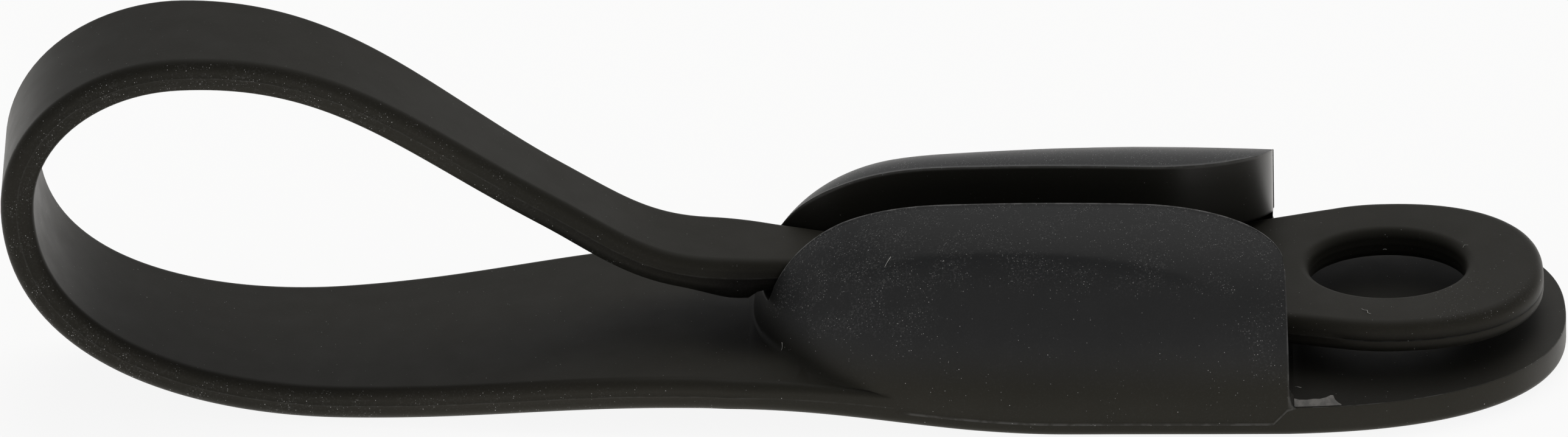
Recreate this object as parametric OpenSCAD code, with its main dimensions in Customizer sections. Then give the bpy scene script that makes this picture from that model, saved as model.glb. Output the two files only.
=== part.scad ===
// Adhesive cable holder: a soft one-piece moulding. A base plate carries an open hood, and a tapering
// strap leaves the plate, loops round and comes back through the hood's slot to a finger ring.
// The origin is on the adhesive face, below the plate's widest place. +X runs towards the ring, +Z is up.

/* [Base plate] */
// Widest width of the base plate, at the open end of the hood
base_w = 28.6; // [26:0.2:32]
// Length of the rounded end, from the widest place to its tip
base_end = 18.1; // [16.9:0.2:22]
// Fullness of the rounded end's outline, where 2 is an ellipse
base_fullness = 2.35; // [2:0.05:2.8]
// Thickness of the base plate
base_t = 2.0; // [1.8:0.1:2.6]
// Rounding along the edges of the plate, the strap and the ring
edge_r = 0.5; // [0.3:0.05:0.6]
// Length of the plate's flat part behind the widest place
flat_l = 14.5; // [13:0.5:16]
// Narrowing of each side of the plate along the flat part
flat_taper = 0.8; // [0.5:0.1:1.2]

/* [Adhesive pad] */
// Thickness of the pad
pad_t = 1.0; // [0.6:0.1:1.2]
// How far the pad stands out of its recess
pad_proud = 0.2; // [0.1:0.05:0.4]
// Width of the plate's rim round the pad
pad_rim = 2.4; // [1.5:0.1:4]
// Distance from the pad's back edge to the end of the plate's flat part
pad_end_rim = 1.5; // [1:0.1:3]
// Gap between the pad's edge and the wall of its recess
pad_clear = 0.15; // [0.1:0.05:0.3]

/* [Hood] */
// Length of the hood, from its nose to its open end
hood_l = 33.5; // [31.5:0.2:35.5]
// Height of the hood above the adhesive face, at its highest place
hood_h = 11.7; // [11:0.1:13]
// Fall of the hood's ridge towards its open end
hood_fall = 1.0; // [0.2:0.1:1.6]
// Length of the rounded nose in the side view
nose_l = 12.5; // [11:0.1:14]
// Length of the rounded nose in the top view
nose_plan_l = 9.2; // [8:0.2:10]
// Fullness of the hood's sections, where 2 is an ellipse
hood_fullness = 2.7; // [2.3:0.1:3]
// Fullness of the hood's sections at the tip of the nose
nose_section = 2.35; // [2.1:0.05:2.6]
// Fullness of the nose in the side view, where 2 is an ellipse
nose_fullness = 2.4; // [2.1:0.1:2.7]
// Thickness of the hood's walls at their foot and at the nose
hood_wall = 2.0; // [1.6:0.1:2.4]
// Height of the tunnel for the tongue at the open end
tunnel_h = 6.2; // [6.1:0.1:6.8]
// Rise of the tunnel's roof from the open end to the nose
tunnel_rise = 2.6; // [2.2:0.1:3]
// Width of the slot along the top of the hood
slot_w = 5.6; // [5.4:0.1:6.2]
// Length of the slot's flare at the hood's open end
flare_l = 9; // [7:0.2:10]
// Widening of the slot on each side along its flare
flare_w = 6.4; // [5:0.2:6.8]
// Widening of the slot's mouth on each side at the nose
mouth_flare = 1.3; // [1.1:0.1:1.5]
// Depth of the finger dish in each flank
dish_depth = 0.8; // [0.4:0.1:1]
// Length of the finger dish
dish_l = 25; // [18:0.5:26]

/* [Strap] */
// Thickness of the strap round the loop
strap_t = 2.1; // [1.9:0.1:2.3]
// Distance from the hood's open end to the back of the loop
loop_reach = 80.7; // [76:0.1:86]
// Height of the loop
loop_h = 23.8; // [22.5:0.1:26]
// Height of the loop's hindmost place
back_h = 13.8; // [12.6:0.2:14.6]
// Distance from the back of the loop to its lowest place
foot_back = 21.2; // [20:0.2:23]
// Distance from the back of the loop to its top
crown_back = 11.6; // [11:0.1:13]
// Height of the shallow arch between the plate and the loop
arch_h = 1.2; // [0.8:0.1:1.6]
// Height of the loop's lowest place above the plate's underside
foot_lift = 0; // [0:0.05:0.5]
// Width of the strap at the lowest place of the loop
foot_w = 16.6; // [15:0.2:17.8]
// Width of the strap at the back of the loop
back_w = 11.2; // [10.8:0.2:12.4]
// Width of the strap at the top of the loop
crown_w = 10.6; // [10:0.2:11]
// Width of the strap on its way from the top of the loop to the nose
strand_w = 7.0; // [6.6:0.2:7.8]
// Widening of the neck on each side in front of the nose
shoulder = 1.2; // [0.9:0.1:1.4]
// Thickness of the strap in front of the nose
mouth_t = 2.2; // [2:0.1:2.5]
// Height of the neck above the level tongue, at the nose
mouth_rise = 2.7; // [2.5:0.05:2.9]
// Gap between the neck of the strap and each side of the slot
neck_clear = 0.25; // [0.2:0.05:0.4]

/* [Ring] */
// Thickness of the tongue and the ring
tongue_t = 2.0; // [1.7:0.1:2.2]
// Gap between the plate and the tongue above it
tongue_gap = 1.35; // [1:0.05:1.6]
// Width of the tongue where it levels out inside the hood
tongue_w = 9.4; // [8.8:0.1:10.4]
// Width of the ring
ring_d = 19.2; // [18:0.2:20]
// Distance from the ring's centre to its tip
ring_reach = 9.9; // [9:0.1:10.4]
// Fullness of the ring's outline at its tip, where 2 is an ellipse
ring_fullness = 2.3; // [2:0.1:2.6]
// Diameter of the hole in the ring
ring_hole_d = 10; // [8:0.2:11]
// Distance from the hood's open end to the ring's centre
ring_x = 6.8; // [6:0.1:8]

/* [Hidden] */
// Colour of the moulding
moulding_colour = "#232426";
// Colour of the adhesive foam
foam_colour = "#c9c6bd";
// Straight pieces round each end of the strip, and their greatest length along its sides
end_steps = 14;
side_step = 1.9;
// Stations along the hood, and points on half of each of its sections
hood_steps = 34;
section_steps = 16;
// Share of a curve's chord that its tangent handles take, as in a quarter circle
handle = 0.39;
// Overlap that keeps cuts clear of the faces they pass
over = 1;

half_w = base_w / 2;
flat_half = half_w - flat_taper;
base_mid = pad_proud + base_t / 2;
base_top = pad_proud + base_t;
tongue_mid = base_top + tongue_gap + tongue_t / 2;
ring_r = ring_d / 2;
nose_x = -hood_l;
neck_half = slot_w / 2 - neck_clear;
pad_back = flat_l - pad_end_rim;
// Angle at which the tongue's sides run into the ring, and their slope where the tongue levels out
ring_blend = 20;
tongue_spread = 0.1;
// Rounded corners at the back of the pad
pad_corner = 3;
// Step of the parting line, where the hood's foot wraps the plate's edge
seam = 0.06;
// Height of the hood's foot above the plate's underside, and how deep its hollow reaches into the plate
foot_lap = 0.8;
floor_lap = 0.3;
// Length of the slot's widened mouth, and of the sill below it
mouth_l = 6;
sill_l = 4;
// Middle of the finger dish along the flank. Round the section its floor starts at one angle, its upper
// edge lies a span above that, and it runs out at the foot. The power keeps its edge crisp.
dish_x = -hood_l / 2;
dish_angle = 52;
dish_span = 20;
dish_foot = 88;
dish_edge = 3;
// Power that crowds the hood's stations towards its nose
crowding = 1.5;

// The top of the arch lies behind the nose, and the plate's thickness runs into the strap's there
crest_gap = 1.2;
crest_x = nose_x - crest_gap;
easing_l = 2.2;
foot_x = foot_back - loop_reach;
crown_x = crown_back - loop_reach;
// The strap swells a little in front of the nose, and slopes down inside as the neck
mouth_gap = 0.8;
mouth_x = nose_x - mouth_gap;
mouth_z = tongue_mid + mouth_rise;
mouth_half = neck_half + shoulder;
neck_slope = 5;
neck_l = 3;
neck_drop = neck_l * tan(neck_slope);
swell_l = 2;
// From this place on the tongue lies level
level_l = 14;
level_x = -level_l;
blend_x = ring_x - ring_r * sin(ring_blend);
blend_half = ring_r * cos(ring_blend);
// Top of the sill that the neck passes over at the nose
sill_z = mouth_z - neck_drop - tongue_t / 2 - neck_clear;
// A place on the strand between the loop's top and the nose: how far along and down, and its slope
strand_along = 0.66;
strand_down = 0.72;
strand_slope = 32;

// The strap's middle line in the side view: place, direction of travel, half width and thickness.
// It leaves the plate backwards, arches, rounds the loop and returns through the hood as the tongue.
function strap_half(x) = lerp(flat_half, foot_w / 2, (x + flat_l) / (foot_x + flat_l));
knots = [
    [0, base_mid, 180, half_w, base_t],
    [-flat_l, base_mid, 180, flat_half, base_t],
    [crest_x, base_mid + arch_h, 180, strap_half(crest_x), base_t],
    [crest_x - easing_l, pad_proud + arch_h + strap_t / 2, 180, strap_half(crest_x - easing_l), strap_t],
    [foot_x, pad_proud + foot_lift + strap_t / 2, 180, foot_w / 2, strap_t],
    [strap_t / 2 - loop_reach, back_h, 90, back_w / 2, strap_t],
    [crown_x, loop_h - strap_t / 2, 0, crown_w / 2, strap_t],
    [
        lerp(crown_x, mouth_x, strand_along),
        lerp(loop_h, mouth_z, strand_down),
        -strand_slope,
        strand_w / 2,
        strap_t
    ],
    [mouth_x - swell_l, mouth_z + swell_l * tan(neck_slope), -neck_slope, mouth_half, mouth_t],
    [mouth_x, mouth_z, -neck_slope, mouth_half, mouth_t],
    [mouth_x + neck_l, mouth_z - neck_drop, -neck_slope, (mouth_half + neck_half) / 2, tongue_t],
    [mouth_x + 2 * neck_l, mouth_z - 2 * neck_drop, -neck_slope, neck_half, tongue_t],
    [mouth_x + 3 * neck_l, mouth_z - 3 * neck_drop, -neck_slope, neck_half, tongue_t],
    [level_x, tongue_mid, 0, tongue_w / 2, tongue_t],
    [blend_x, tongue_mid, 0, blend_half, tongue_t],
];

function lerp(a, b, f) = a + (b - a) * f;
function heading(k) = [cos(k[2]), sin(k[2])];
function place(k) = [k[0], k[1]];

// A point on the curve between two knots, and the curve's direction there
function curve_points(a, b) =
    let (reach = handle * norm(place(b) - place(a)))
    [place(a), place(a) + reach * heading(a), place(b) - reach * heading(b), place(b)];
function curve_at(p, f) =
    pow(1 - f, 3) * p[0] + 3 * f * pow(1 - f, 2) * p[1] + 3 * f * f * (1 - f) * p[2] + pow(f, 3) * p[3];
function curve_way(p, f) =
    pow(1 - f, 2) * (p[1] - p[0]) + 2 * f * (1 - f) * (p[2] - p[1]) + f * f * (p[3] - p[2]);

// The tongue's sides swell into the ring with the ring's own slope
function half_width(a, b, f, last) =
    last
        ? let (run = b[0] - a[0], f2 = f * f, f3 = f2 * f)
          a[3] * (2 * f3 - 3 * f2 + 1) + run * tongue_spread * (f3 - 2 * f2 + f)
              + b[3] * (3 * f2 - 2 * f3) + run * tan(ring_blend) * (f3 - f2)
        : lerp(a[3], b[3], f);

// Stations of the strap: x, z, the outward normal's x and z, half width, thickness
function end_point(q, length, half, full) = [length * pow(cos(q), 2 / full), half * pow(sin(q), 2 / full)];
function base_station(j, inset) =
    let (p = end_point(90 * j / end_steps, base_end - inset, half_w - inset, base_fullness))
    [p[0], base_mid, 0, -1, p[1], base_t];
function ring_station(j, inset) =
    let (q = lerp(-ring_blend, 90, j / end_steps), r = ring_r - inset)
    let (p = q < 0 ? [r * sin(q), r * cos(q)] : end_point(90 - q, ring_reach - inset, r, ring_fullness))
    [ring_x + p[0], tongue_mid, 0, 1, p[1], tongue_t];
function side_station(i, f, inset) =
    let (a = knots[i], b = knots[i + 1], p = curve_points(a, b), at = curve_at(p, f))
    let (way = curve_way(p, f) / norm(curve_way(p, f)))
    let (w = half_width(a, b, f, i == len(knots) - 2))
    [at[0], at[1], -way[1], way[0], w - inset, lerp(a[4], b[4], f)];
function steps_of(i) = max(2, round(norm(place(knots[i + 1]) - place(knots[i])) / side_step));
function stations(inset) = concat(
    [for (j = [0:end_steps - 1]) base_station(j, inset)],
    [for (i = [0:len(knots) - 2], j = [0:steps_of(i) - 1]) side_station(i, j / steps_of(i), inset)],
    [for (j = [0:end_steps]) ring_station(j, inset)]
);

// The strap's edge in layers from its inner to its outer face: inset from the outline, height
edge_layers = [for (q = [0, 45, 90]) [edge_r * (1 - sin(q)), edge_r * (1 - cos(q))]];
function layer_loop(inset, from_inner, from_outer) =
    let (s = stations(inset), n = len(s))
    let (height = function(k) from_inner >= 0 ? from_inner - k[5] / 2 : k[5] / 2 - from_outer)
    let (point = function(k, side) [k[0] + k[2] * height(k), side * k[4], k[1] + k[3] * height(k)])
    concat(
        [for (i = [0:n - 1]) point(s[i], 1)],
        [for (i = [n - 2:-1:1]) point(s[i], -1)]
    );

// Triangles between the loops of a lofted solid, and across its two end loops
function wall_faces(rows, m) = [
    for (i = [0:rows - 2], j = [0:m - 1])
        let (a = i * m + j, b = i * m + (j + 1) % m)
        each [[b, a + m, a], [b + m, a + m, b]]
];
function band_faces(first, m) = [
    for (j = [0:m / 2 - 1])
        let (a = first + j, b = first + j + 1, c = first + (m - j) % m, d = first + m - j - 1)
        each (j == 0 ? [[a, b, d]] : j == m / 2 - 1 ? [[a, b, c]] : [[a, b, d], [a, d, c]])
];
function flipped(faces) = [for (f = faces) [f[2], f[1], f[0]]];

// The base plate, strap, tongue and ring as one bent strip with rounded edges
module strip() {
    inner = [for (l = edge_layers) layer_loop(l[0], l[1], 0)];
    outer = [for (l = edge_layers) layer_loop(l[0], -1, l[1])];
    loops = concat(inner, [for (i = [len(outer) - 1:-1:0]) outer[i]]);
    m = len(loops[0]);
    rows = len(loops);
    polyhedron(
        [for (l = loops) each l],
        concat(wall_faces(rows, m), flipped(band_faces(0, m)), band_faces((rows - 1) * m, m))
    );
}

// Width of the base plate and height of its middle plane below a place in the hood
side_table = [for (i = [0:2]) [-knots[i][0], knots[i][3]]];
mid_table = [
    for (i = [0:1], j = [0:steps_of(i)])
        let (k = side_station(i, j / steps_of(i), 0))
        [-k[0], k[1]]
];
function plate_half(x) = lookup(-x, side_table);
function plate_mid(x) = lookup(-x, mid_table);

// One half of the rounded nose's profile: 0 at its tip, 1 where it has run out
function nose_rise(x, length, inset, fullness) =
    let (f = (nose_x + length - x) / (length - inset))
    f <= 0 ? 1 : pow(max(0, 1 - pow(f, fullness)), 1 / fullness);
function hood_half(x, inset) =
    (plate_half(x) + seam - inset) * nose_rise(x, nose_plan_l, inset, 2);
function ridge_z(x) = hood_h - hood_fall * pow(max(0, 1 + x / (hood_l - nose_l)), 2);
function roof_z(x) = tunnel_h - tunnel_rise * x / hood_l;
function hood_rise(x, floor_z, inset) =
    ((inset > 0 ? roof_z(x) : ridge_z(x)) - floor_z) * nose_rise(x, nose_l, inset, nose_fullness);
function fullness(x) = lerp(nose_section, hood_fullness, min(1, (x - nose_x) / (hood_l - flare_l)));

// Depth of the finger dish at a place on the flank, where the angle runs from the ridge to the foot
function dish_at(x, angle) =
    let (down = abs(angle) - dish_angle)
    let (r = norm([(x - dish_x) / (dish_l / 2), min(0, down) / dish_span]))
    let (f = max(0, min(1, down / (dish_foot - dish_angle))))
    r < 1 ? dish_depth * (1 - pow(r, dish_edge)) * (1 - f * f * (3 - 2 * f)) : 0;

// A section of the hood as a loop of points, from one foot over the ridge to the other
function full_power(v, full) = pow(abs(v), 2 / full);
function hood_section(x, inset, floor_z, steps, dished) =
    let (b = hood_half(x, inset), c = hood_rise(x, floor_z, inset), full = fullness(x))
    [
        for (j = [-steps:steps])
            let (angle = 90 * j / steps, side = sign(angle))
            let (y = full_power(sin(angle), full), z = full_power(cos(angle), full))
            let (out = [pow(y, full - 1) / b, pow(z, full - 1) / c])
            let (depth = dished ? dish_at(x, angle) / norm(out) : 0)
            [x, side * (b * y - depth * out[0]), floor_z + c * z - depth * out[1]]
    ];

// A solid through a row of section loops, closed by flat ends
module loft(sections) {
    m = len(sections[0]);
    rows = len(sections);
    first = [for (j = [m - 1:-1:0]) j];
    last = [for (j = [0:m - 1]) (rows - 1) * m + j];
    polyhedron(
        [for (s = sections) each s],
        concat([first], [last], wall_faces(rows, m))
    );
}

// The outline of the hood's slot from above, with its rounded flare at the open end
module slot_outline() {
    half = slot_w / 2;
    side = concat(
        [[nose_x - over, half + mouth_flare], [nose_x, half + mouth_flare], [nose_x + mouth_l, half]],
        [for (q = [0:10:90]) [flare_l * (sin(q) - 1), half + flare_w * (1 - cos(q))]],
        [[over, half + flare_w]]
    );
    polygon(concat(side, [for (i = [len(side) - 1:-1:0]) [side[i][0], -side[i][1]]]));
}

module hood() {
    difference() {
        loft([
            for (i = [1:hood_steps])
                let (x = nose_x + hood_l * pow(i / hood_steps, crowding))
                hood_section(x, 0, plate_mid(x) - base_t / 2 + foot_lap, section_steps, true)
        ]);
        loft([
            for (i = [1:hood_steps / 2])
                let (x = nose_x + hood_wall + (hood_l - hood_wall + over) * pow(2 * i / hood_steps, crowding))
                hood_section(x, hood_wall, plate_mid(x) + base_t / 2 - floor_lap, section_steps / 2, false)
        ]);
        translate([0, 0, sill_z])
            linear_extrude(hood_h)
                slot_outline();
        translate([0, 0, tongue_mid])
            linear_extrude(hood_h)
                intersection() {
                    slot_outline();
                    translate([nose_x + sill_l, -half_w])
                        square([hood_l, base_w]);
                }
    }
}

// The hole through the ring, with rounded rims
module ring_hole() {
    rim = [for (q = [0:30:90]) [1 - sin(q), 1 - cos(q)] * edge_r];
    half = tongue_t / 2;
    wall = concat(
        [[edge_r, half + over]],
        [for (p = rim) [p[0], half - p[1]]],
        [for (i = [len(rim) - 1:-1:0]) [rim[i][0], rim[i][1] - half]],
        [[edge_r, -half - over]]
    );
    translate([ring_x, 0, tongue_mid])
        rotate_extrude($fn = 72)
            polygon(concat(
                [[0, half + over]],
                [for (p = wall) [ring_hole_d / 2 + p[0], p[1]]],
                [[0, -half - over]]
            ));
}

// The pad's outline: the plate's own, inset by the rim, cut off straight behind with round corners
module pad_outline(grow) {
    inset = pad_rim - grow;
    back = pad_back + grow;
    back_half = plate_half(-back) - inset;
    side = concat(
        [for (q = [0:6:90]) end_point(q, base_end - inset, half_w - inset, base_fullness)],
        [for (q = [0:15:90]) [
            pad_corner * (1 - sin(q)) - back,
            back_half - pad_corner * (1 - cos(q))
        ]]
    );
    polygon(concat(side, [for (i = [len(side) - 1:-1:1]) [side[i][0], -side[i][1]]]));
}

module holder_body() {
    color(moulding_colour)
        difference() {
            union() {
                strip();
                hood();
            }
            ring_hole();
            translate([0, 0, pad_proud - over])
                linear_extrude(pad_t - pad_proud + over)
                    pad_outline(pad_clear);
        }
}

module adhesive_pad() {
    color(foam_colour)
        linear_extrude(pad_t)
            pad_outline(0);
}

holder_body();
adhesive_pad();
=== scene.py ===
# %% [markdown]
# # A stick-on cable holder in soft silicone
# The holder is one piece of black silicone. A flat base plate carries a hood with a slot along its top. A
# strap leaves the plate, loops round, comes back through the slot and ends in a ring that is pulled tight.
# The packed CAD part gives every place and size, so it is loaded first.

# %% Load the packed part
import math
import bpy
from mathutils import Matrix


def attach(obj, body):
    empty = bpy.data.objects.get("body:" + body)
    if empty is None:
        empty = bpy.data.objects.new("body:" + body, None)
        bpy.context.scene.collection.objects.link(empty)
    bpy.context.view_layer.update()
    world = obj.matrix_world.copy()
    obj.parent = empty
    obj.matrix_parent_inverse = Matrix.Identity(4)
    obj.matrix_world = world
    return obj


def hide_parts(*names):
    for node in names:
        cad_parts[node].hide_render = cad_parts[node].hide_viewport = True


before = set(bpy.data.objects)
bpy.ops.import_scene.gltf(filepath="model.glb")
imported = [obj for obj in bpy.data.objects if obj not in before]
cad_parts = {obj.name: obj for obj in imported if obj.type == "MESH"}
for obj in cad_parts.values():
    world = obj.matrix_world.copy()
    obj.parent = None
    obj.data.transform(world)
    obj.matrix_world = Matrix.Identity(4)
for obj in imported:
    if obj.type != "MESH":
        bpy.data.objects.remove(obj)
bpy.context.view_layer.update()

from types import SimpleNamespace

import bpy
import bmesh
import numpy as np
from mathutils import Matrix, Vector
from mathutils.bvhtree import BVHTree
from mathutils.kdtree import KDTree

# %% [markdown]
# ## The sizes
# A maker would take these from the drawing. They repeat the CAD values in millimetres, because Blender's
# solid operations behave better with numbers near 1 than with thousandths. The meshes shrink to metres at the
# very end.

# %% Sizes in millimetres
BASE_W, BASE_END, BASE_T, BASE_FULL = 28.6, 18.1, 2.0, 2.35
FLAT_L, FLAT_TAPER = 14.5, 0.8
PAD_T, PAD_PROUD, PAD_RIM, PAD_BACK, PAD_CLEAR, PAD_CORNER = 1.0, 0.2, 2.4, 13.0, 0.15, 3.0
HOOD_L, HOOD_H, HOOD_FALL, HOOD_WALL = 33.5, 11.7, 1.0, 2.0
NOSE_L, NOSE_PLAN_L, HOOD_FULL, NOSE_FULL, NOSE_SECTION = 12.5, 9.2, 2.7, 2.4, 2.35
TUNNEL_H, TUNNEL_RISE = 6.2, 2.6
SLOT_W, FLARE_L, FLARE_W, MOUTH_FLARE, MOUTH_L = 5.6, 9.0, 6.4, 1.3, 6.0
DISH_DEPTH, DISH_L, DISH_ANGLE, DISH_SPAN, DISH_FOOT = 0.8, 25.0, 52.0, 20.0, 88.0
STRAP_T, LOOP_REACH, LOOP_H, BACK_H, FOOT_BACK, CROWN_BACK = 2.1, 80.7, 23.8, 13.8, 21.2, 11.6
ARCH_H, FOOT_LIFT, FOOT_W, BACK_W, CROWN_W, STRAND_W = 1.2, 0.0, 16.6, 11.2, 10.6, 7.0
SHOULDER, MOUTH_T, MOUTH_RISE, NECK_CLEAR, NECK_L, NECK_SLOPE = 1.2, 2.2, 2.7, 0.25, 3.0, 5.0
TONGUE_T, TONGUE_GAP, TONGUE_W, LEVEL_L = 2.0, 1.35, 9.4, 14.0
RING_D, RING_HOLE_D, RING_X, RING_BLEND, RING_REACH, RING_FULL = 19.2, 10.0, 6.8, 20.0, 9.9, 2.3
SEAM, FOOT_BEAD, FOOT_LAP, FLOOR_LAP = 0.02, 0.04, 0.8, 0.3
HANDLE = 0.39

HALF_W = BASE_W / 2
BASE_MID = PAD_PROUD + BASE_T / 2
BASE_TOP = PAD_PROUD + BASE_T
TONGUE_MID = BASE_TOP + TONGUE_GAP + TONGUE_T / 2
RING_R = RING_D / 2
NOSE_X = -HOOD_L
FLANK_X = NOSE_X + NOSE_PLAN_L
NECK_HALF = SLOT_W / 2 - NECK_CLEAR
NECK_DROP = NECK_L * math.tan(math.radians(NECK_SLOPE))
print("the plate is", BASE_W, "mm wide and the tongue floats at", round(TONGUE_MID, 2), "mm")


def lerp(a, b, share):
    return a + (b - a) * share


# %% [markdown]
# ## The strap's line in the side view
# The plate, the strap, the tongue and the ring are one long strip that bends but never twists. So one line
# in the side view and a width at each place describe all of it. Each knot below holds a place, a direction, a
# half width and a thickness. Smooth curves join the knots, as a bent strip of rubber would. A softened width
# takes away the small kinks that straight tapers leave.

# %% Knots along the strap
CREST_X, EASING_L = NOSE_X - 1.2, 2.2
FOOT_X, CROWN_X = FOOT_BACK - LOOP_REACH, CROWN_BACK - LOOP_REACH
MOUTH_X, MOUTH_Z, MOUTH_HALF, SWELL_L = NOSE_X - 0.8, TONGUE_MID + MOUTH_RISE, NECK_HALF + SHOULDER, 2.0
BLEND_X = RING_X - RING_R * math.sin(math.radians(RING_BLEND))
BLEND_HALF = RING_R * math.cos(math.radians(RING_BLEND))
FLAT_HALF = HALF_W - FLAT_TAPER


def strap_half(x):
    return lerp(FLAT_HALF, FOOT_W / 2, (x + FLAT_L) / (FOOT_X + FLAT_L))


KNOTS = [
    (0, BASE_MID, 180, HALF_W, BASE_T),
    (-FLAT_L, BASE_MID, 180, FLAT_HALF, BASE_T),
    (CREST_X, BASE_MID + ARCH_H, 180, strap_half(CREST_X), BASE_T),
    (CREST_X - EASING_L, PAD_PROUD + ARCH_H + STRAP_T / 2, 180, strap_half(CREST_X - EASING_L), STRAP_T),
    (FOOT_X, PAD_PROUD + FOOT_LIFT + STRAP_T / 2, 180, FOOT_W / 2, STRAP_T),
    (STRAP_T / 2 - LOOP_REACH, BACK_H, 90, BACK_W / 2, STRAP_T),
    (CROWN_X, LOOP_H - STRAP_T / 2, 0, CROWN_W / 2, STRAP_T),
    (lerp(CROWN_X, MOUTH_X, 0.66), lerp(LOOP_H, MOUTH_Z, 0.72), -32, STRAND_W / 2, STRAP_T),
    (MOUTH_X - SWELL_L, MOUTH_Z + SWELL_L * NECK_DROP / NECK_L, -NECK_SLOPE, MOUTH_HALF, MOUTH_T),
    (MOUTH_X, MOUTH_Z, -NECK_SLOPE, MOUTH_HALF, MOUTH_T),
    (MOUTH_X + NECK_L, MOUTH_Z - NECK_DROP, -NECK_SLOPE, (MOUTH_HALF + NECK_HALF) / 2, TONGUE_T),
    (MOUTH_X + 2 * NECK_L, MOUTH_Z - 2 * NECK_DROP, -NECK_SLOPE, NECK_HALF, TONGUE_T),
    (MOUTH_X + 3 * NECK_L, MOUTH_Z - 3 * NECK_DROP, -NECK_SLOPE, NECK_HALF, TONGUE_T),
    (-LEVEL_L, TONGUE_MID, 0, TONGUE_W / 2, TONGUE_T),
    (BLEND_X, TONGUE_MID, 0, BLEND_HALF, TONGUE_T),
]
print("knots along the strap:", len(KNOTS))

# %% Stations between the knots
STATION_STEP, SMOOTH_ROUNDS, TONGUE_SLOPE = 0.55, 8, 0.1


def heading(knot):
    angle = math.radians(knot[2])
    return np.array([math.cos(angle), math.sin(angle)])


def swell(a, b, f):
    """Half width of the tongue where it widens into the ring."""
    run, slope_out = b[0] - a[0], math.tan(math.radians(RING_BLEND))
    f2, f3 = f * f, f * f * f
    return (a[3] * (2 * f3 - 3 * f2 + 1) + run * TONGUE_SLOPE * (f3 - 2 * f2 + f)
            + b[3] * (3 * f2 - 2 * f3) + run * slope_out * (f3 - f2))


def walk(a, b, last):
    """Stations between two knots: x, z, outward normal, half width, thickness."""
    start, end = np.array(a[:2], float), np.array(b[:2], float)
    reach = HANDLE * np.linalg.norm(end - start)
    p = [start, start + reach * heading(a), end - reach * heading(b), end]
    count = max(3, round(np.linalg.norm(end - start) / STATION_STEP))
    rows = []
    for i in range(count):
        f = i / count
        at = (1 - f) ** 3 * p[0] + 3 * f * (1 - f) ** 2 * p[1] + 3 * f * f * (1 - f) * p[2] + f ** 3 * p[3]
        way = (1 - f) ** 2 * (p[1] - p[0]) + 2 * f * (1 - f) * (p[2] - p[1]) + f * f * (p[3] - p[2])
        way /= np.linalg.norm(way)
        half = swell(a, b, f) if last else lerp(a[3], b[3], f)
        rows.append([at[0], at[1], -way[1], way[0], half, lerp(a[4], b[4], f)])
    return rows


side = []
for i in range(len(KNOTS) - 1):
    side += walk(KNOTS[i], KNOTS[i + 1], i == len(KNOTS) - 2)
side = np.array(side)
for _ in range(SMOOTH_ROUNDS):
    side[1:-1, 4:] = 0.25 * side[:-2, 4:] + 0.5 * side[1:-1, 4:] + 0.25 * side[2:, 4:]
print("stations along the strap:", len(side))

# %% [markdown]
# ## The edge of the strip
# The strap has fat, almost half round edges with a fine raised line round the middle, where the two halves
# of the mould met. Round the ring that line is a fine crease instead. The plate is crisp on top, because the
# mould parts there, and rounded below. A bevel modifier gives one radius all along, so each station gets an upper
# and a lower radius here, and the edge is a short list of insets and heights. A last row a little way in on each
# flat face keeps the shading of the flat parts flat.

# %% Edge profile
END_STEPS = 44
EDGE_STEPS = 6
RIDGE, RIDGE_HALF, CREASE = 0.025, 0.07, 0.035
SUPPORT = 0.12
CRISP_EDGE, PLATE_EDGE, STRAP_EDGE, RING_EDGE = 0.1, 0.5, 0.7, 0.75
SOFTEN_X, SOFTEN_L, TONGUE_X = -20, 14, -30


def edge_profile(thickness, inner_r, outer_r, ridge=RIDGE):
    """Rows of (inset, height) from the inner face round the edge to the outer face."""
    half = thickness / 2
    rows = [(inner_r + SUPPORT, -half)]
    for k in range(EDGE_STEPS + 1):
        q = math.radians(90 * k / EDGE_STEPS)
        rows.append((inner_r * (1 - math.sin(q)), inner_r * (1 - math.cos(q)) - half))
    seam_at = (inner_r - outer_r) / 2
    rows += [(0, seam_at - RIDGE_HALF), (-ridge, seam_at), (0, seam_at + RIDGE_HALF)]
    for k in range(EDGE_STEPS, -1, -1):
        q = math.radians(90 * k / EDGE_STEPS)
        rows.append((outer_r * (1 - math.sin(q)), half - outer_r * (1 - math.cos(q))))
    rows.append((outer_r + SUPPORT, half))
    return rows


def radii(x, z, normal_z):
    """Inner and outer edge radius at a place on the strip."""
    if normal_z < -0.5 and z < BASE_MID + ARCH_H + 0.3:
        soft = min(1, max(0, (SOFTEN_X - x) / SOFTEN_L))
        return lerp(CRISP_EDGE, STRAP_EDGE, soft), lerp(PLATE_EDGE, STRAP_EDGE, soft)
    if x > TONGUE_X and normal_z > 0.9:
        return PLATE_EDGE, RING_EDGE
    return STRAP_EDGE, STRAP_EDGE


def end_point(q, length, half, full):
    """A place on a rounded end. It is an ellipse where full is 2, and blunter above that."""
    return length * math.cos(q) ** (2 / full), half * math.sin(q) ** (2 / full)


base_end = [math.radians(90 * j / END_STEPS) for j in range(END_STEPS)]
ring_end = [math.radians(lerp(-RING_BLEND, 90, j / END_STEPS)) for j in range(END_STEPS + 1)]
ROWS = len(edge_profile(2, 0.5, 0.5))
print("rows across the edge:", ROWS)

# %% [markdown]
# ## The strip as a mesh
# At each row the outline is one closed loop: along one side from the tip of the plate to the tip of the ring,
# and back along the other side. Quads join the loops, and cross strips close the two faces. An extruded curve
# with a bevel could make a strap too, but its ends couldn't swell into a plate and a ring. Just before the hood
# the strap's underside is thicker, because it stops there against the nose.

# %% Loops of the strip
STOP_SWELL, STOP_MARKS = 0.5, (-38.0, -34.2, -33.6, -32.85)


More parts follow.
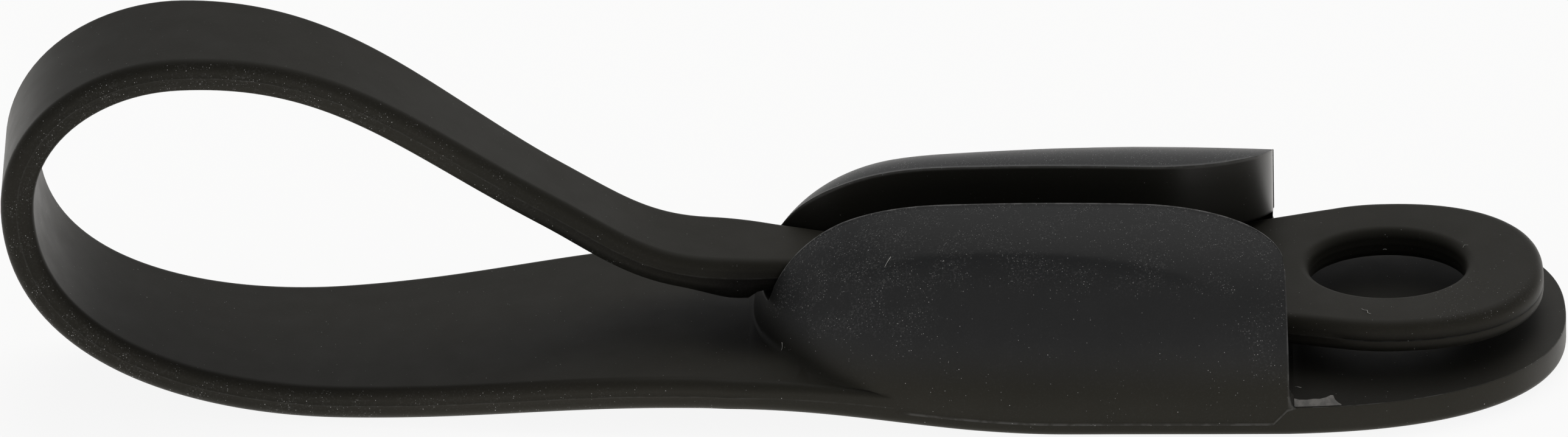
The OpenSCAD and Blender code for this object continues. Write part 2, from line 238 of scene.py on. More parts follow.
def stop_swell(x, normal_z):
    """How much thicker the strap's underside is where it stops against the nose."""
    if normal_z < 0.9:
        return 1.0
    f = float(np.interp(x, STOP_MARKS, (0, 1, 1, 0)))
    return 1 + STOP_SWELL * f * f * (3 - 2 * f)


def strip_row(row):
    """One side of the outline at a row of the edge profile, from the plate's tip to the ring's tip."""
    points = []
    inner_r, outer_r = radii(0, BASE_MID, -1)
    inset, height = edge_profile(BASE_T, inner_r, outer_r, 0)[row]
    for q in base_end:
        x, y = end_point(q, BASE_END - inset, HALF_W - inset, BASE_FULL)
        points.append((x, y, BASE_MID - height))
    for x, z, nx, nz, half, thick in side:
        inner_r, outer_r = radii(x, z, nz)
        inset, height = edge_profile(thick, inner_r, outer_r, 0 if nz < -0.5 and x > NOSE_X else RIDGE)[row]
        height *= stop_swell(x, nz) if height < 0 else 1
        points.append((x + nx * height, half - inset, z + nz * height))
    inner_r, outer_r = radii(RING_X, TONGUE_MID, 1)
    inset, height = edge_profile(TONGUE_T, inner_r, outer_r, -CREASE)[row]
    for q in ring_end:
        r = RING_R - inset
        x, y = r * math.sin(q), r * math.cos(q)
        if q > 0:
            x, y = end_point(max(0, math.pi / 2 - q), RING_REACH - inset, r, RING_FULL)
        points.append((RING_X + x, y, TONGUE_MID + height))
    return points


strip_points, loop_size = [], 0
for row in range(ROWS):
    one_side = strip_row(row)
    loop = one_side + [(x, -y, z) for x, y, z in one_side[-2:0:-1]]
    loop_size = len(loop)
    strip_points += loop
print("points in one loop:", loop_size)

# %% Faces of the strip
strip_faces = []
for row in range(ROWS - 1):
    for j in range(loop_size):
        a, b = row * loop_size + j, row * loop_size + (j + 1) % loop_size
        strip_faces.append((a, b, b + loop_size, a + loop_size))
for first in (0, (ROWS - 1) * loop_size):
    for j in range(loop_size // 2):
        a, b = first + j, first + j + 1
        c, d = first + (loop_size - j) % loop_size, first + loop_size - j - 1
        strip_faces.append(tuple(dict.fromkeys((a, b, d, c))))
print("strip faces:", len(strip_faces))

# %% [markdown]
# ## Making objects and combining solids
# Three short helpers do the rest: one turns points and faces into a closed object with its faces turned
# outwards, one joins or cuts two solids, and one counts the edges that don't have exactly two faces. A sound
# moulding has none.

# %% Mesh helpers
MM = 0.001


def make_piece(name, points, faces):
    mesh = bpy.data.meshes.new(name)
    mesh.from_pydata([tuple(map(float, p)) for p in points], [], faces)
    work = bmesh.new()
    work.from_mesh(mesh)
    bmesh.ops.recalc_face_normals(work, faces=work.faces)
    work.to_mesh(mesh)
    work.free()
    piece = bpy.data.objects.new(name, mesh)
    bpy.context.scene.collection.objects.link(piece)
    return piece


def combine(piece, tool, operation):
    step = piece.modifiers.new(operation.lower(), "BOOLEAN")
    step.operation, step.object, step.solver = operation, tool, "EXACT"
    bpy.context.view_layer.update()
    result = bpy.data.meshes.new_from_object(piece.evaluated_get(bpy.context.evaluated_depsgraph_get()))
    piece.modifiers.clear()
    piece.data = result
    bpy.data.objects.remove(tool)
    return piece


def open_edges(piece):
    work = bmesh.new()
    work.from_mesh(piece.data)
    count = sum(len(edge.link_faces) != 2 for edge in work.edges)
    work.free()
    return count


moulding = make_piece("holder_moulding", strip_points, strip_faces)
print("open edges in the strip:", open_edges(moulding))

# %% [markdown]
# ## The hood's two skins
# The hood is a thick shell. Its outer skin is the form that the fingers hold, and its inner skin is a low tunnel
# for the tongue. Across the holder each skin is a superellipse, a curve between an ellipse and a rectangle. Along
# the holder it rises from the blunt nose and sinks a little towards the open end. Sculpting could give such a
# form too, but not to a drawing, so both skins come from one formula with a different inset and top.

# %% Skin heights
plate_rows = side[side[:, 3] < -0.99]
plate_rows = plate_rows[np.argsort(plate_rows[:, 0])]
plate_rows = plate_rows[plate_rows[:, 0] > CREST_X - 1]
SILL_Z = MOUTH_Z - NECK_DROP - TONGUE_T / 2 - NECK_CLEAR


def plate_half(x):
    return float(np.interp(x, plate_rows[:, 0], plate_rows[:, 4]))


def plate_mid(x):
    return float(np.interp(x, plate_rows[:, 0], plate_rows[:, 1]))


def nose_rise(x, length, inset, fullness):
    f = (NOSE_X + length - x) / (length - inset)
    return 1.0 if f <= 0 else max(0.0, 1 - f ** fullness) ** (1 / fullness)


def skin_half(x, inset):
    return (plate_half(x) + SEAM - inset) * nose_rise(x, NOSE_PLAN_L, inset, 2)


def skin_floor(x, inset):
    lift = FOOT_LAP - BASE_T / 2 if inset == 0 else BASE_T / 2 - FLOOR_LAP
    return plate_mid(x) + lift


def fullness(x):
    return lerp(NOSE_SECTION, HOOD_FULL, min(1, max(0, (x - NOSE_X) / (HOOD_L - FLARE_L))))


def skin_z(x, y, inset):
    top = TUNNEL_H - TUNNEL_RISE * x / HOOD_L
    if inset == 0:
        top = HOOD_H - HOOD_FALL * max(0, 1 + x / (HOOD_L - NOSE_L)) ** 2
    floor, full = skin_floor(x, inset), fullness(x)
    rise = (top - floor) * nose_rise(x, NOSE_L, inset, NOSE_FULL)
    share = min(1.0, abs(y) / max(1e-6, skin_half(x, inset)))
    return floor + rise * (1 - share ** full) ** (1 / full)


def slot_half(x):
    half = SLOT_W / 2
    if x > -FLARE_L:
        return half + FLARE_W * (1 - math.cos(math.asin(min(1, 1 + x / FLARE_L))))
    into_mouth = min(1, max(0, (NOSE_X + MOUTH_L - x) / MOUTH_L))
    return half + MOUTH_FLARE * into_mouth ** 1.5


def x_at_sill(y, inset):
    """Where a skin's nose reaches the sill's height."""
    low, high = NOSE_X + inset, NOSE_X + inset + NOSE_L
    for _ in range(50):
        mid = (low + high) / 2
        low, high = (low, mid) if skin_z(mid, y, inset) > SILL_Z else (mid, high)
    return high


print("sill at", round(SILL_Z, 2), "mm; nose front at", round(x_at_sill(0, 0), 2))

# %% [markdown]
# ## Columns round the hood
# The hood is drawn in columns, like the staves of a barrel. Each column climbs the outer skin from the plate to
# the rim of the slot, drops down the slot's upright wall and follows the tunnel's skin back to the plate. Along the
# flanks the columns stand side by side. Round the nose they fan out, so no sharp pole is left at the tip.

# %% Foot and rim of every column
NOSE_STEPS, FLANK_STEP, FLARE_STEPS = 40, 0.6, 26
CORNER_SHARE, CAP_L = 0.22, 0.12


def column_ends():
    """Half the hood from the nose's middle to the open end: plan places of foot and rim on each skin."""
    rows = []
    mouth = {inset: x_at_sill(slot_half(NOSE_X), inset) for inset in (0, HOOD_WALL)}
    for i in range(NOSE_STEPS + 1):
        f = i / NOSE_STEPS
        turn = math.radians(90 * f)
        row = {}
        for inset in (0, HOOD_WALL):
            reach = NOSE_PLAN_L - inset
            foot_x = NOSE_X + inset + reach * (1 - math.cos(turn))
            foot = (foot_x, skin_half(foot_x, inset) if i else 0.0)
            if f <= CORNER_SHARE:
                y = slot_half(NOSE_X) * f / CORNER_SHARE
                rim = (x_at_sill(y, inset), y)
            else:
                rim_x = lerp(mouth[inset], FLANK_X, (f - CORNER_SHARE) / (1 - CORNER_SHARE))
                rim = (rim_x, slot_half(rim_x) if inset == 0 else slot_half(max(rim_x, NOSE_X)))
            row[inset] = (foot, rim)
        rows.append(row)
    straight = np.arange(FLANK_X + FLANK_STEP, -FLARE_L, FLANK_STEP)
    flare = [FLARE_L * (math.sin(math.radians(90 * k / FLARE_STEPS)) - 1) for k in range(FLARE_STEPS + 1)]
    for x in list(straight) + [x for x in flare if x < -CAP_L] + [0]:
        row = {}
        for inset in (0, HOOD_WALL):
            row[inset] = ((x, skin_half(x, inset)), (x, slot_half(x)))
        rows.append(row)
    return rows


columns = column_ends()
print("columns on half of the hood:", len(columns))

# %% [markdown]
# ## Finger dishes
# Each flank has a shallow oval dish for a fingertip: crisp along its upper edge, soft below. A Boolean cut with an
# ellipsoid would leave a hard rim all round. So the dish is a depth at each place, pressed in along the skin's own
# normal.

# %% Dish and surface direction


def dish_depth(x, y):
    half = skin_half(x, 0)
    share = min(1.0, abs(y) / max(1e-6, half))
    angle = math.degrees(math.asin(share ** (fullness(x) / 2)))
    down = angle - DISH_ANGLE
    r = math.hypot((x + HOOD_L / 2) / (DISH_L / 2), min(0, down) / DISH_SPAN)
    f = min(1.0, max(0.0, down / (DISH_FOOT - DISH_ANGLE)))
    return DISH_DEPTH * (1 - r ** 3) * (1 - f * f * (3 - 2 * f)) if r < 1 else 0.0


def skin_normal(x, y):
    step = 0.02
    slope_x = (skin_z(x + step, y, 0) - skin_z(x - step, y, 0)) / (2 * step)
    slope_y = (skin_z(x, y + step, 0) - skin_z(x, y - step, 0)) / (2 * step)
    return np.array([-slope_x, -slope_y, 1]) / math.sqrt(slope_x ** 2 + slope_y ** 2 + 1)


deepest = max(dish_depth(-HOOD_L / 2, y) for y in np.linspace(0, HALF_W, 50))
print("the dish is", round(deepest, 2), "mm deep")

# %% [markdown]
# ## Paths up a skin
# A column is a path of points. These helpers draw the path up a skin, space its points evenly with a few closer
# ones at the foot, cut off its end and round a corner. A subdivision surface would soften the rim too, but it
# would draw the crisp lines of the mould in with it.

# %% Path helpers
SKIN_ROWS, RIM_ROWS, RIM_R = 46, 4, 0.2
CLIMB_STEPS = 160


def lengths(path):
    """How far along the path each of its points lies."""
    return np.concatenate([[0], np.cumsum(np.linalg.norm(np.diff(path, axis=0), axis=1))])


def resample(path, count, first=(0,)):
    """Even points along a path, after some closer ones near its start."""
    path = np.array(path)
    run = lengths(path)
    marks = list(first[:-1]) + list(np.linspace(first[-1], run[-1], count - len(first) + 1))
    return np.stack([np.interp(marks, run, path[:, k]) for k in range(3)], axis=1)


def climb(foot, rim, inset):
    """Dense path up a skin from its foot to the rim."""
    path = []
    for k in range(CLIMB_STEPS + 1):
        s = 1 - math.cos(math.radians(90 * k / CLIMB_STEPS))
        x, y = lerp(foot[0], rim[0], s), lerp(foot[1], rim[1], s)
        path.append([x, y, skin_z(x, y, inset) if k else skin_floor(x, inset)])
    return path


def trimmed(path, length):
    """The path without its last stretch."""
    path = np.array(path)
    run = lengths(path)
    keep = run[-1] - length
    cut = [np.interp(keep, run, path[:, k]) for k in range(3)]
    return np.vstack([path[run < keep], cut])


def rounded(start, corner, end):
    """Points of a soft corner between two places."""
    marks = [(k + 1) / (RIM_ROWS + 1) for k in range(RIM_ROWS)]
    return [(1 - t) ** 2 * start + 2 * t * (1 - t) * corner + t * t * end for t in marks]


print("the nose is climbed in", round(lengths(climb((NOSE_X, 0), (x_at_sill(0, 0), 0), 0))[-1], 2), "mm")

# %% [markdown]
# ## Fillet, foot line and rim
# At the nose the hood runs into the strap with a small fillet, which fades out below the strap's mouth. A fine
# raised line runs along the foot of the flank, where the mould closed. At the open end it steps up to the top of the
# plate. The slot's rim has a raised edge. All of them are moves of a few points of the path, because bump alone
# wouldn't show in the outline.

# %% One column of the hood
FILLET_R, FILLET_LEAST, FILLET_FADE, FILLET_SHARE, LEDGE_LEFT = 0.5, 0.2, 9.0, 0.8, 0.2
STEP_L, STEP_SINK, CLOSE = 1.05, 0.1, 0.01
FOOT_MARKS, BEAD_SHAPE = (0, 0.09, 0.18, 0.3), np.array([1, 0.75, 0.2])
RIM_BEAD, RIM_START = np.array([0.05, 0.07, 0.06, 0.02]), -32.3
WALL_ROWS = 4


def press_dish(outer):
    for point in outer[1:]:
        depth = dish_depth(point[0], point[1])
        if depth > 0:
            point[:] = list(np.array(point) - depth * skin_normal(point[0], point[1]))


def add_fillet(outer, foot):
    """Leads the nose's foot out over the strap."""
    ledge = plate_half(foot[0]) - foot[1] - LEDGE_LEFT
    fillet = min(FILLET_R * min(1, FILLET_LEAST + foot[1] / FILLET_FADE), max(0, ledge * FILLET_SHARE))
    if fillet <= 2 * CLOSE:
        return
    out = np.array([(foot[0] - FLANK_X) / NOSE_PLAN_L ** 2, foot[1] / plate_half(foot[0]) ** 2])
    out /= np.linalg.norm(out)
    for point in outer:
        rise = point[2] - (plate_mid(point[0]) + BASE_T / 2)
        away = fillet - math.sqrt(max(0, fillet ** 2 - (fillet - min(fillet, max(0, rise))) ** 2))
        point[0] += out[0] * away
        point[1] += out[1] * away


def raise_foot(outer, foot):
    """Steps the foot up to the top of the plate near the open end."""
    step_up = max(0, 1 + foot[0] / STEP_L)
    if step_up == 0:
        return outer
    low = skin_floor(foot[0], 0) + (BASE_T - FOOT_LAP - STEP_SINK) * step_up
    y = np.interp(low, [p[2] for p in outer], [p[1] for p in outer])
    return [[foot[0], y, low]] + [p for p in outer if p[2] > low + CLOSE]


def hood_column(ends):
    (foot, rim), (inner_foot, inner_rim) = ends[0], ends[HOOD_WALL]
    on_flank = foot[0] >= FLANK_X - CLOSE
    outer = climb(foot, rim, 0)
    press_dish(outer)
    if not on_flank:
        add_fillet(outer, foot)
    outer = raise_foot(outer, foot)
    inner = climb(inner_foot, inner_rim, HOOD_WALL)
    top, under = np.array(outer[-1]), np.array(inner[-1])
    inward = (under - top) * RIM_R / np.linalg.norm(under - top)
    a, b = top + inward, under - inward
    outer, inner = trimmed(outer, RIM_R), trimmed(inner, RIM_R)
    skin = resample(outer, SKIN_ROWS, FOOT_MARKS)
    if on_flank:
        skin[:len(BEAD_SHAPE), 1] += FOOT_BEAD * BEAD_SHAPE
    rim_edge = np.array(rounded(outer[-1], top, a))
    rim_edge[:, 2] += RIM_BEAD if rim[0] > RIM_START else 0
    wall = [lerp(a, b, k / (WALL_ROWS - 1)) for k in range(WALL_ROWS)]
    return np.vstack([skin, rim_edge, wall, rounded(b, under, inner[-1]), resample(inner[::-1], SKIN_ROWS)])


half_hood = [hood_column(ends) for ends in columns]
print("rows in a column:", len(half_hood[0]))

# %% [markdown]
# ## Closing the hood
# The half is mirrored across the middle, the two open ends get flat caps with a tiny soft edge, and the underside
# is closed inside the plate. A small fillet leads from each end down to the plate. The end stands a hair away from
# the plane of a row of the strip, because two solids that share a plane are hard to join cleanly.

# %% Hood mesh
END_EDGE, END_X = 0.06, -0.013
TOE_L, TOE_H = 0.42, 0.85


def end_cap(column):
    """The last column moved to the end plane, drawn in a little all round."""
    flat = column[:, 1:]
    way = np.roll(flat, -1, axis=0) - np.roll(flat, 1, axis=0)
    normal = np.stack([way[:, 1], -way[:, 0]], axis=1)
    normal /= np.maximum(1e-9, np.linalg.norm(normal, axis=1))[:, None]
    middle = flat.mean(axis=0)
    turned = np.sign(np.sum((flat[SKIN_ROWS // 2] - middle) * normal[SKIN_ROWS // 2]))
    drawn = flat - END_EDGE * turned * normal
    return np.column_stack([column[:, 0], drawn])


def end_toe(column):
    """How far the fillet at the foot of an end reaches along X."""
    t = np.clip((BASE_TOP + TOE_H - column[:, 2]) / TOE_H, 0, 1)
    return TOE_L * (1 - np.sqrt(1 - t * t))


last = half_hood[-1].copy()
last[:, 0] = END_X + end_toe(last)
half_hood[-1][:, 0] = END_X - END_EDGE + end_toe(last)
half_hood.append(end_cap(last))
mirror = np.array([1, -1, 1])
staves = [c * mirror for c in half_hood[:0:-1]] + half_hood
depth = len(staves[0])
hood_points = np.vstack(staves)
hood_faces = []
for i in range(len(staves) - 1):
    for j in range(depth):
        a, b = i * depth + j, i * depth + (j + 1) % depth
        hood_faces.append((a, b, b + depth, a + depth))
for first in (0, (len(staves) - 1) * depth):
    for j in range(depth // 2 - 1):
        hood_faces.append((first + j, first + j + 1, first + depth - 2 - j, first + depth - 1 - j))
hood = make_piece("hood", hood_points, hood_faces)
print("open edges in the hood:", open_edges(hood), "faces:", len(hood_faces))

# %% [markdown]
# ## The ring's hole
# The hole has soft rims and a fine line half way down, where two pins of the mould met. A plain cylinder would
# leave hard rims to bevel later, so the tool that cuts it is a spool with the whole profile of the hole.

# %% Tool for the ring's hole
HOLE_STEPS, HOLE_ROWS, HOLE_EDGE, HOLE_RIDGE = 144, 8, 0.62, 0.015


def spool():
    """The solid that cuts the ring's hole, with soft rims and a fine parting line half way down."""
    half, soft = TONGUE_T / 2, HOLE_EDGE
    profile = [(soft, half + 1)]
    for k in range(HOLE_ROWS + 1):
        q = math.radians(90 * k / HOLE_ROWS)
        profile.append((soft * (1 - math.sin(q)), half - soft * (1 - math.cos(q))))
    profile += [(0, RIDGE_HALF), (-HOLE_RIDGE, 0), (0, -RIDGE_HALF)]
    profile += [(r, -h) for r, h in profile[HOLE_ROWS + 1:0:-1]] + [(soft, -half - 1)]
    points, faces = [], []
    for r, h in profile:
        for k in range(HOLE_STEPS):
            a = 2 * math.pi * k / HOLE_STEPS
            radius = RING_HOLE_D / 2 + r
            points.append((RING_X + radius * math.cos(a), radius * math.sin(a), TONGUE_MID + h))
    for i in range(len(profile) - 1):
        for k in range(HOLE_STEPS):
            a, b = i * HOLE_STEPS + k, i * HOLE_STEPS + (k + 1) % HOLE_STEPS
            faces.append((a, b, b + HOLE_STEPS, a + HOLE_STEPS))
    faces.append(tuple(range(HOLE_STEPS)))
    faces.append(tuple(range((len(profile) - 1) * HOLE_STEPS, len(profile) * HOLE_STEPS)))
    return make_piece("spool", points, faces)


print("the hole is", RING_HOLE_D, "mm wide")

# %% [markdown]
# ## The pad's recess
# A shallow recess under the plate takes the adhesive pad. Its outline is the plate's own, drawn in, with round
# corners behind. It is a low prism that is cut from below.

# %% Tool for the recess


def pad_prism():
    """The recess for the pad: the plate's outline drawn in, with round corners behind."""
    inset, back = PAD_RIM - PAD_CLEAR, PAD_BACK + PAD_CLEAR
    outline = []
    for k in range(31):
        outline.append(end_point(math.radians(3 * k), BASE_END - inset, HALF_W - inset, BASE_FULL))
    back_half = plate_half(-back) - inset
    for k in range(10):
        q = math.radians(10 * k)
        outline.append((PAD_CORNER * (1 - math.sin(q)) - back, back_half - PAD_CORNER * (1 - math.cos(q))))
    outline += [(x, -y) for x, y in outline[:0:-1]]
    n = len(outline)
    points = [(x, y, -1) for x, y in outline] + [(x, y, PAD_T) for x, y in outline]
    faces = [tuple(range(n)), tuple(range(n, 2 * n))]
    faces += [(k, (k + 1) % n, n + (k + 1) % n, n + k) for k in range(n)]
    return make_piece("recess", points, faces)


print("the recess is", round(PAD_T - PAD_PROUD, 2), "mm deep")

# %% [markdown]
# ## Joining and cutting
# On the real holder all this is one shot of silicone, so the hood and the strip become one closed mesh. A remesh
# would join them too, but it would round off the fine lines. The exact Boolean solver keeps them.

# %% Join and cut
combine(moulding, hood, "UNION")
print("open edges after the hood:", open_edges(moulding))
combine(moulding, spool(), "DIFFERENCE")
combine(moulding, pad_prism(), "DIFFERENCE")
print("open edges in the moulding:", open_edges(moulding), "faces:", len(moulding.data.polygons))

# %% [markdown]
# ## Placing the moulding
# The mesh shrinks to metres and is shaded smooth, apart from the edges where the mould parts. It rides on the part's
# only body and stands for the CAD solid, which is hidden and stays for collisions.

# %% Finish the mesh
SHARP_ANGLE = 38
moulding.data.transform(Matrix.Scale(MM, 4))
for face in moulding.data.polygons:
    face.use_smooth = True
moulding.data.set_sharp_from_angle(angle=math.radians(SHARP_ANGLE))
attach(moulding, "root")
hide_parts("holder_body")
print("moulding box:", [round(v / MM, 2) for v in moulding.dimensions])

# %% [markdown]
# ## Shader maths as plain sums
# A finish is a small tree of nodes. One class wraps a socket, so that sums and products of values can be
# written as in Python, and one method makes any other node from its type, its settings and its sockets.

# %% The wire class


def both_ways(operation):
    """An operator and its reflected form, which takes a number on the left."""
    def forward(wire, other):
        return wire.maths(operation, wire, other)

    def reflected(wire, other):
        return wire.maths(operation, other, wire)
    return forward, reflected


class Wire:
    """A socket in a node tree. Sums with it add Math nodes."""
    __add__, __radd__ = both_ways("ADD")
    __sub__, __rsub__ = both_ways("SUBTRACT")
    __mul__, __rmul__ = both_ways("MULTIPLY")
    __truediv__, __rtruediv__ = both_ways("DIVIDE")
    __pow__, __rpow__ = both_ways("POWER")

    def __init__(self, tree, socket=None):
        self.tree, self.socket = tree, socket

    def node(self, kind, settings=None, sockets=None, out=0):
        made = self.tree.nodes.new(kind)
        for key, value in (settings or {}).items():
            setattr(made, key, value)
        for key, value in (sockets or {}).items():
            if isinstance(value, Wire):
                self.tree.links.new(value.socket, made.inputs[key])
            else:
                made.inputs[key].default_value = value
        return Wire(self.tree, made.outputs[out] if made.outputs else None)

    def other(self, out):
        """Another output of the same node."""
        return Wire(self.tree, self.socket.node.outputs[out])

    def maths(self, operation, *values):
        return self.node("ShaderNodeMath", {"operation": operation}, dict(enumerate(values)))

    def clamped(self):
        return self.node("ShaderNodeClamp", None, {"Value": self})

    def step(self, low, high):
        """A soft step from 0 at low to 1 at high."""
        settings = {"interpolation_type": "SMOOTHSTEP"}
        return self.node("ShaderNodeMapRange", settings, {"Value": self, 1: low, 2: high})

    def mix(self, first, second):
        """A colour that goes from the first to the second with this value."""
        settings = {"data_type": "RGBA"}
        return self.node("ShaderNodeMix", settings, {0: self, 6: first, 7: second}, 2)


print("operators of a wire:", [name for name in vars(Wire) if name.startswith("__r")])

# %% Shader helpers


def new_tree(name):
    material = bpy.data.materials.new(name)
    material.use_nodes = True
    material.node_tree.nodes.clear()
    return material, Wire(material.node_tree)


def place_in_mm(wire):
    place = wire.node("ShaderNodeTexCoord", None, None, "Object")
    return wire.node("ShaderNodeVectorMath", {"operation": "SCALE"}, {"Vector": place, "Scale": 1 / MM})


def split(vector):
    """The X, Y and Z of a vector."""
    x = vector.node("ShaderNodeSeparateXYZ", None, {0: vector})
    return x, x.other(1), x.other(2)


def noise(place, scale, detail=3.0, rough=0.55):
    sockets = {"Vector": place, "Scale": scale, "Detail": detail, "Roughness": rough}
    return place.node("ShaderNodeTexNoise", None, sockets)


print("shader helpers ready")

# %% [markdown]
# ## Where lines and dust belong
# A moulding shows fine pale lines where the mould closed: round the strap's edge, along the foot of the hood,
# round the rim of the slot and down its open end. Round the ring the line is a crease, and the shade in it is painted
# dark. Dust gathers on the hood's outer skin and not inside it. A painted mask would need an image. So all this is
# stored as numbers on the mesh points, because the points know which part of the drawing they came from.

# %% Marks on the mesh
PLATE_LINE, STRAP_LINE, NEAR_RIM, FAR_RIM = 0.3, 0.1, 1.0, 0.25


def line_points():
    """Places on the fine lines, with how strongly each shows."""
    lines = []
    ridge_row, crisp_rows, plate_end = ROWS // 2, (EDGE_STEPS - 2, EDGE_STEPS - 1), END_STEPS + 2
    for j in range(loop_size):
        on_plate = min(j, loop_size - j) < plate_end
        for row in crisp_rows if on_plate else (ridge_row,):
            lines.append((strip_points[row * loop_size + j], PLATE_LINE if on_plate else STRAP_LINE))
    for i, column in enumerate(staves):
        at_end = min(i, len(staves) - 1 - i) < 2
        rim = 0.0 if column[SKIN_ROWS][0] < RIM_START else NEAR_RIM if column[0][1] < 0 else FAR_RIM
        for j in range(SKIN_ROWS + 3):
            on_foot = j < 2 and column[0][0] > FLANK_X
            if on_foot or j >= SKIN_ROWS or at_end:
                lines.append((column[j], rim if j >= SKIN_ROWS else PLATE_LINE))
    return lines


def nearest(points):
    tree = KDTree(len(points))
    for k, point in enumerate(points):
        tree.insert(Vector(point) * MM, k)
    tree.balance()
    return tree


def mark(piece, name, points, values, reach=0.012):
    """Gives each mesh point the value of the listed point that it sits on."""
    tree, found = nearest(points), []
    for vertex in piece.data.vertices:
        at, k, distance = tree.find(vertex.co)
        found.append(float(values[k]) if distance < reach * MM else 0.0)
    piece.data.attributes.new(name, "FLOAT", "POINT").data.foreach_set("value", found)
    print(name, "marked on", sum(v > 0 for v in found), "points")


lines = line_points()
mark(moulding, "line", [point for point, weight in lines], [weight for point, weight in lines])
row_of = np.tile(np.arange(depth), len(staves))
wall_end = SKIN_ROWS + 2 * RIM_ROWS + WALL_ROWS
ring_seam = [ROWS // 2 * loop_size + j for j in range(loop_size) if abs(j - loop_size // 2) < END_STEPS]
mark(moulding, "crease", [strip_points[k] for k in ring_seam], np.ones(len(ring_seam)))
mark(moulding, "outside", hood_points, row_of < SKIN_ROWS + 1)
mark(moulding, "slot", hood_points, (row_of > SKIN_ROWS) & (row_of < wall_end))

# %% [markdown]
# ## Black silicone
# Real silicone is a deep warm black with a soft sheen. It is matte, because the mould was finely blasted, and
# it draws dust. A noise over everything would look like stone. So each part of the finish has its own place: the body
# colour wanders slowly between two blacks and is cooler on the hood. Shade is painted into it too: it goes almost
# black in the corner below the strap's mouth, under the strap and the ring, in the crease and towards the far end of
# the loop.

# %% Places on the moulding


def surface(wire):
    """What the finish knows about a place: where it is, which way it faces and the marks on the mesh."""
    place = place_in_mm(wire)
    x, y, z = split(place)
    sideways, up = split(wire.node("ShaderNodeNewGeometry", None, None, "Normal"))[1:]
    marks = {name: wire.node("ShaderNodeAttribute", {"attribute_name": name}, None, "Fac")
             for name in ("line", "crease", "outside", "slot")}
    return SimpleNamespace(place=place, x=x, y=y, z=z, sideways=sideways, up=up, top_band=z.step(8.4, 10.2),
                           tone=noise(place, 0.09, 2.0), cloud=noise(place, 0.5, 4.0, 0.6), **marks)


print("marks on the mesh:", [a.name for a in moulding.data.attributes if a.data_type == "FLOAT"])

# %% Body colour and painted shade
DEEP = (0.0150, 0.0145, 0.0116, 1)
WARM = (0.0172, 0.0163, 0.0132, 1)
COOL = (0.0128, 0.0134, 0.0140, 1)
# The near-black that the painted shade mixes in.
SHADE_BLACK = (0.0035, 0.0034, 0.003, 1)
CORNER = (33.6, 3.8, 4.2)


def body_colour(at):
    body = (at.outside * at.z.step(3.0, 6.5)).mix(at.tone.step(0.35, 0.68).mix(DEEP, WARM), COOL)
    mirrored = at.place.node("ShaderNodeVectorMath", {"operation": "ABSOLUTE"}, {0: at.place})
    away = at.place.node("ShaderNodeVectorMath", {"operation": "DISTANCE"}, {0: mirrored, 1: CORNER}, "Value")
    # Painted shade: the body goes almost black on the downward faces of the strap, tongue and ring, on the plate
    # under the ring, round the corner below the mouth, towards the loop's far end and in the ring's crease.
    under = (1 - at.up.step(-0.35, 0.3)) * (1 - at.outside) * at.z.step(3.0, 3.6) * at.x.step(-54, -44)
    shade_below_ring = at.up.step(0.5, 0.9) * (1 - at.z.step(2.3, 2.8)) * at.x.step(-3, 0) * (1 - at.x.step(12, 15.5))
    shade_in_corner, shade_in_loop = 1 - away.step(1.2, 5.0), 1 - at.x.step(-78, -48)
    painted_shade = at.crease + under * 0.7 + shade_below_ring * 0.55 + shade_in_corner * 0.9 + shade_in_loop * 0.25
    return painted_shade.clamped().mix(body, SHADE_BLACK)


print("body colour from", DEEP[:3], "to", WARM[:3])

# %% [markdown]
# ## Dust and painted light
# A thin grey film of dust lies on the hood, and it is painted light as well: it lifts the hood's flank, is weakest
# round the nose and thinner on the top. Bright grains sit in it, most of them on the shoulder of the nose, along
# the slot and beside the open end, and a few on the ring and the strap's edge. Particles would be far too many
# meshes for specks of a thirtieth of a millimetre. A Voronoi texture has a point in each cell, and a grain shows
# only in the share of cells that the place allows.

# %% Dust specks, and a film that is partly painted light
DUST = (0.32, 0.32, 0.32, 1)


def specks(place, cell, size, share):
    """Tiny round grains of mixed brightness, 0 between them. The share is how many cells hold one."""
    settings = {"voronoi_dimensions": "3D", "feature": "F1"}
    sockets = {"Vector": place, "Scale": 1 / cell, "Randomness": 1.0}
    distance = place.node("ShaderNodeTexVoronoi", settings, sockets)
    chance = place.node("ShaderNodeSeparateColor", None, {0: distance.other("Color")})
    width, light = chance.other(1), chance.other(2)
    radius = (width * 0.6 + 0.4) * (size / cell)
    near = 1 - (distance / radius).step(0.6, 1.0)
    return near * (light ** 2 * 0.8 + 0.2) * chance.maths("LESS_THAN", chance, share)


